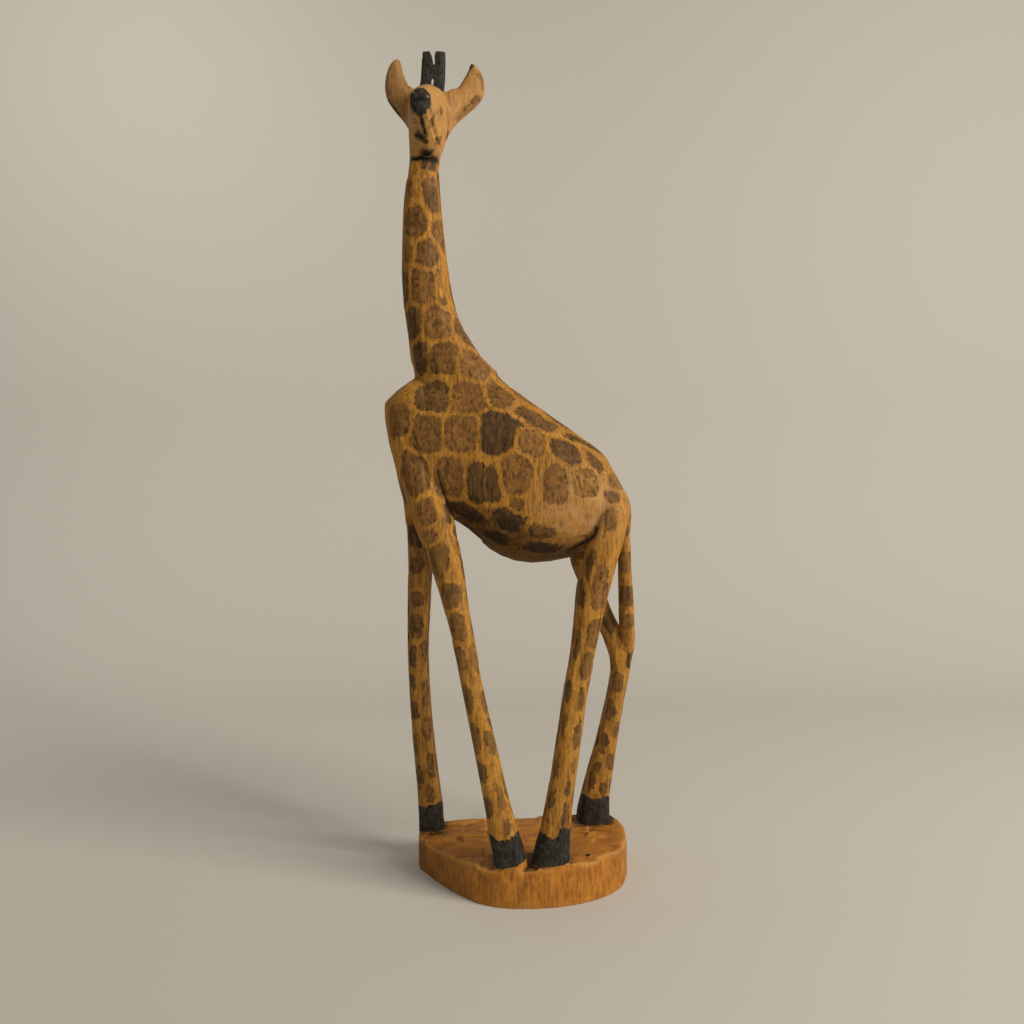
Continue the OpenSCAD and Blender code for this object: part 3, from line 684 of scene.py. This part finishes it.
def woodMaterial(name, changes=None):
    spec = {**waxedWood, **(changes or {})}
    material = bpy.data.materials.new(name)
    material.use_nodes = True
    tree = material.node_tree
    shader = tree.nodes["Principled BSDF"]
    perMm = 1000
    along = perMm * spec["fibre"] / spec["fibreLength"]
    coarser = 1.6   # the noise is drawn this much coarser than the sizes say
    place = addNode(tree, "TexCoord").outputs["Object"]
    inMm = addNode(tree, "Mapping", {"Vector": place, "Scale": (perMm, perMm, perMm)}).outputs[0]
    stretched = addNode(tree, "Mapping", {"Vector": place, "Scale": (perMm, perMm, along)}).outputs[0]
    flecks = addNode(tree, "Mapping", {"Vector": place, "Scale": (perMm, perMm, 0.55 * perMm)}).outputs[0]
    fibre = addNode(tree, "TexNoise", {
        "Vector": stretched, "Scale": 1 / spec["fibre"] / coarser,
        "Detail": 3.0, "Roughness": 0.6, "Distortion": 0.25,
    }).outputs[0]
    pores = addNode(tree, "TexNoise", {
        "Vector": flecks, "Scale": 1 / spec["stipple"] / coarser,
        "Detail": 3.0, "Roughness": 0.7, "Distortion": 0.6,
    }).outputs[0]
    cloud = addNode(tree, "TexNoise", {
        "Vector": inMm, "Scale": 1 / spec["cloud"], "Detail": 3.0, "Roughness": 0.55,
    }).outputs[0]
    stored = {}
    for layerName in ("marks", "tint"):
        vector = addNode(tree, "Attribute", attribute_name=layerName).outputs["Vector"]
        stored[layerName] = addNode(tree, "SeparateXYZ", {0: vector}).outputs
    patch, tone, paint = stored["marks"]
    stainAndShade, worn, pale = stored["tint"]
    centred = {}
    for key, noise in (("fibre", fibre), ("pores", pores), ("cloud", cloud)):
        centred[key] = addNode(tree, "Math", {0: noise, 1: -0.5}, operation="ADD").outputs[0]

    grain = addNode(tree, "MapRange", {0: fibre, 1: 0.36, 2: 0.64}).outputs[0]
    drift = addNode(tree, "MapRange", {0: cloud, 1: 0.32, 2: 0.68}).outputs[0]
    dots = addNode(tree, "MapRange", {0: pores, 1: 0.4, 2: 0.62}).outputs[0]
    half = addNode(tree, "MixRGB", {0: spec["grainShare"], 1: grain, 2: drift}).outputs[0]
    deep, light = (toLinear(c) for c in spec["ground"])
    ground = addNode(tree, "MixRGB", {0: half, 1: deep, 2: light}).outputs[0]
    ground = addNode(tree, "MixRGB", {0: pale, 1: ground, 2: toLinear(spec["paleFlank"])}).outputs[0]
    speck = addNode(tree, "MapRange", {0: pores, 1: 0.38, 2: 0.5, 3: spec["speckDepth"], 4: 1.05}).outputs[0]
    fewer = addNode(tree, "Math", {0: pale, 1: 0.5}, operation="MULTIPLY").outputs[0]
    speck = addNode(tree, "MixRGB", {0: fewer, 1: speck, 2: (1, 1, 1, 1)}).outputs[0]
    ground = addNode(tree, "MixRGB", {0: 1.0, 1: ground, 2: speck}, blend_type="MULTIPLY").outputs[0]
    scratch = addNode(tree, "MapRange", {0: fibre, 1: 0.34, 2: 0.45, 3: 0.74, 4: 1.0}).outputs[0]
    ground = addNode(tree, "MixRGB", {0: 1.0, 1: ground, 2: scratch}, blend_type="MULTIPLY").outputs[0]

    # patches: ragged rim, darker just inside it, grainy within
    ragged = {0: centred["pores"], 1: spec["raggedEdge"] * 4.0, 2: patch}
    jitter = addNode(tree, "Math", ragged, operation="MULTIPLY_ADD").outputs[0]
    smooth = {"interpolation_type": "SMOOTHSTEP"}
    inside = addNode(tree, "MapRange", {0: jitter, 1: -0.35, 2: 0.45}, **smooth).outputs[0]
    uneven = addNode(tree, "Math", {0: centred["cloud"], 1: 0.9, 2: tone}, operation="MULTIPLY_ADD").outputs[0]
    shade = addNode(tree, "ValToRGB", {0: uneven})
    ramp = shade.color_ramp.elements
    ramp[0].position, ramp[0].color = 0.15, toLinear(spec["patch"][0])
    ramp[1].position, ramp[1].color = 1.0, toLinear(spec["patch"][3])
    for at, colour in ((0.5, spec["patch"][1]), (0.78, spec["patch"][2])):
        ramp.new(at).color = toLinear(colour)
    rim = addNode(tree, "MapRange", {0: jitter, 1: 0.4, 2: 1.8, 3: 0.84, 4: 1.0}).outputs[0]
    brown = addNode(tree, "MixRGB", {0: 1.0, 1: shade.outputs[0], 2: rim}, blend_type="MULTIPLY").outputs[0]
    burn = addNode(tree, "MapRange", {0: dots, 1: 0.0, 2: 1.0, 3: 1.5, 4: 0.3}).outputs[0]
    brown = addNode(tree, "MixRGB", {0: 1.0, 1: brown, 2: burn}, blend_type="MULTIPLY").outputs[0]
    mottle = addNode(tree, "MapRange", {0: grain, 1: 0.0, 2: 1.0, 3: 0.97, 4: 0.78}).outputs[0]
    cover = addNode(tree, "Math", {0: inside, 1: mottle}, operation="MULTIPLY").outputs[0]
    colour = addNode(tree, "MixRGB", {0: cover, 1: ground, 2: brown}).outputs[0]
    partly = addNode(tree, "Math", {0: worn, 1: 0.55}, operation="MULTIPLY").outputs[0]
    colour = addNode(tree, "MixRGB", {0: partly, 1: colour, 2: toLinear(spec["rubbed"])}).outputs[0]

    # paint over the wood, its edge drawn out along the fibres, and on top the dark stain and painted shade
    edge = addNode(tree, "Math", {0: centred["fibre"], 1: 2.2, 2: paint}, operation="MULTIPLY_ADD").outputs[0]
    painted = addNode(tree, "MapRange", {0: edge, 1: -0.12, 2: 0.12}).outputs[0]
    dull, dusty = (toLinear(c) for c in spec["paint"])
    black = addNode(tree, "MixRGB", {0: dots, 1: dull, 2: dusty}).outputs[0]
    colour = addNode(tree, "MixRGB", {0: painted, 1: colour, 2: black}).outputs[0]
    # stain and painted shade darken the colour towards the darkest colour
    grimeAndShade = addNode(tree, "Math", {0: centred["pores"], 1: 0.9, 2: stainAndShade}, operation="MULTIPLY_ADD").outputs[0]
    grimeAndShade = addNode(tree, "MapRange", {0: grimeAndShade, 1: 0.12, 2: 0.8}).outputs[0]
    colour = addNode(tree, "MixRGB", {0: grimeAndShade, 1: colour, 2: toLinear(spec["darkStainAndShade"])}).outputs[0]
    tree.links.new(colour, shader.inputs["Base Color"])
    shader.inputs["Specular IOR Level"].default_value = 0.26

    glossy, dry = spec["shine"]
    shine = addNode(tree, "MapRange", {0: cloud, 1: 0.3, 2: 0.7, 3: glossy, 4: dry}).outputs[0]
    tree.links.new(shine, shader.inputs["Roughness"])
    relief = addNode(tree, "MixRGB", {0: 0.4, 1: fibre, 2: pores}).outputs[0]
    bump = addNode(tree, "Bump", {"Height": relief, "Strength": 0.6, "Distance": spec["relief"] * mm})
    tree.links.new(bump.outputs[0], shader.inputs["Normal"])
    return material


# the plinth is the same wood without patches: warmer, with blotchier and fainter grain;
# the paint is the same surface too, dull black with the wood's fibres showing at its edge
plinthChanges = {
    "ground": ("#8A541A", "#C0802F"),
    "fibreLength": 5.0,
    "grainShare": 0.6,
    "speckDepth": 0.86,
}
finishes = {
    "carved_wood": woodMaterial("waxedCarvedHardwood"),
    "plinth_wood": woodMaterial("waxedPlinthHardwood", plinthChanges),
    "black_paint": woodMaterial("mattBlackPaintOnWood"),
}
slotOf = {name: "carved_wood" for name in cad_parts}
slotOf["base"] = "plinth_wood"
for name in hoofNames + hornNames + ["muzzle_tip"]:
    slotOf[name] = "black_paint"

# cut the skin along the seams
margin = 1.6        # mm round a ring that may be cut
slabHalf = 3 * mm   # only faces this near to its plane
bm = bmesh.new()
bm.from_mesh(skin)
layer = bm.faces.layers.int.new("pieceNumber")
for pair, (ring, middle, across) in rings.items():
    low, high = Vector(ring.min(0) - margin) * mm, Vector(ring.max(0) + margin) * mm
    middle, across = Vector(middle) * mm, Vector(across)
    close = [v for v in bm.verts if all(low[k] < v.co[k] < high[k] for k in range(3))]
    around = {f for v in close for f in v.link_faces}
    faces = {f for f in around if abs((f.calc_center_median() - middle).dot(across)) < slabHalf}
    geometry = faces | {e for f in faces for e in f.edges} | {v for f in faces for v in f.verts}
    cut = bmesh.ops.bisect_plane(bm, geom=list(geometry), dist=1e-7, plane_co=middle, plane_no=across)
    left = {e for e in cut["geom_cut"] if isinstance(e, bmesh.types.BMEdge)}
    loops = []
    while left:
        group, todo = set(), [left.pop()]
        while todo:
            e = todo.pop()
            group.add(e)
            grown = {o for v in e.verts for o in v.link_edges if o in left}
            left -= grown
            todo += grown
        loops.append(group)
    # the plane may clip a neighbour too: the longest loop is the seam
    for e in max(loops, key=len):
        e.seam = True
bm.faces.index_update()
reached = set()
for start in bm.faces:
    if start.index in reached:
        continue
    reached.add(start.index)
    todo, members = [start], []
    while todo:
        f = todo.pop()
        members.append(f)
        for e in f.edges:
            if not e.seam:
                fresh = [o for o in e.link_faces if o.index not in reached]
                reached.update(o.index for o in fresh)
                todo += fresh
    # a region belongs to the node that most of it lies on
    sample = members[:: max(1, len(members) // 200)]
    votes = [faceOwner[allCad.find_nearest(f.calc_center_median())[2]] for f in sample]
    winner = max(set(votes), key=votes.count)
    for f in members:
        f[layer] = winner
for k, name in enumerate(skinNames):
    part = bm.copy()
    mark = part.faces.layers.int["pieceNumber"]
    bmesh.ops.delete(part, geom=[f for f in part.faces if f[mark] != k], context="FACES")
    rims = [e for e in part.edges if len(e.link_faces) == 1]
    caps = bmesh.ops.holes_fill(part, edges=rims, sides=0)["faces"]
    caps = bmesh.ops.triangulate(part, faces=caps)["faces"]
    for f in part.faces:
        f.smooth = True
    for f in caps:
        f.smooth = False
    part.faces.index_update()
    flat = {f.index for f in caps}
    mesh = bpy.data.meshes.new("carved_" + name)
    part.to_mesh(mesh)
    part.free()
    mesh.attributes.remove(mesh.attributes["pieceNumber"])
    kept = np.empty(len(mesh.vertices) * 3, np.float32)
    mesh.attributes["skinNormal"].data.foreach_get("vector", kept)
    kept = kept.reshape(-1, 3)
    corners = []
    for p in mesh.polygons:
        corners += [tuple(p.normal) if p.index in flat else tuple(kept[v]) for v in p.vertices]
    mesh.normals_split_custom_set(corners)
    mesh.attributes.remove(mesh.attributes["skinNormal"])
    thing = addObject("carved_" + name, mesh)
    mesh.materials.append(finishes[slotOf[name]])
    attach(thing, "root")
    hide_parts(name)
bm.free()
print("skin cut into", len(skinNames), "pieces")

# horns: two rough prongs on the crown, cut from the same block
hornWork = {
    "voxel": 0.2,
    "soften": 3,
    "knife": (2.2, 2.2, 5.0),
    "knifeDepth": 0.07,
    "root": 0.8,       # how far the lowest part is drawn down into the crown
    "rootFrom": 1.2,   # and how much of it, mm
}
for name in hornNames:
    one = bmesh.new()
    one.from_mesh(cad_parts[name].data)
    bmesh.ops.remove_doubles(one, verts=one.verts, dist=1e-6)
    mesh = bpy.data.meshes.new("roughHorn")
    one.to_mesh(mesh)
    one.free()
    horn = remeshed(mesh, hornWork["voxel"])
    horn.name = "carved_" + name
    places, links = readMesh(horn)
    places = spread(places, links, np.ones((len(places), 1)), hornWork["soften"], carving["keepVolume"])
    turned = normalsOf(horn, places)
    places = flats(places, turned, hornWork["knife"], hornWork["knifeDepth"], 0.12, 5, np.ones(len(places)))
    places = places + turned * (clouds(places, 1.6, 2.0) * 0.08)[:, None]
    lowest = np.clip((places[:, 2].min() - places[:, 2]) / hornWork["rootFrom"] + 1, 0, 1)
    places[:, 2] -= lowest * hornWork["root"]
    normalsOf(horn, places)
    count = len(places)
    for layerName, values in (("marks", [-9.0, 0.5, 3.0]), ("tint", [0.0, 0.0, 0.0])):
        layer = horn.attributes.new(layerName, "FLOAT_VECTOR", "POINT")
        layer.data.foreach_set("vector", np.tile(values, count).astype(np.float32))
    horn.shade_smooth()
    thing = addObject(horn.name, horn)
    horn.materials.append(finishes["black_paint"])
    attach(thing, "root")
    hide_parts(name)
print("horns set")

low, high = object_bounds()
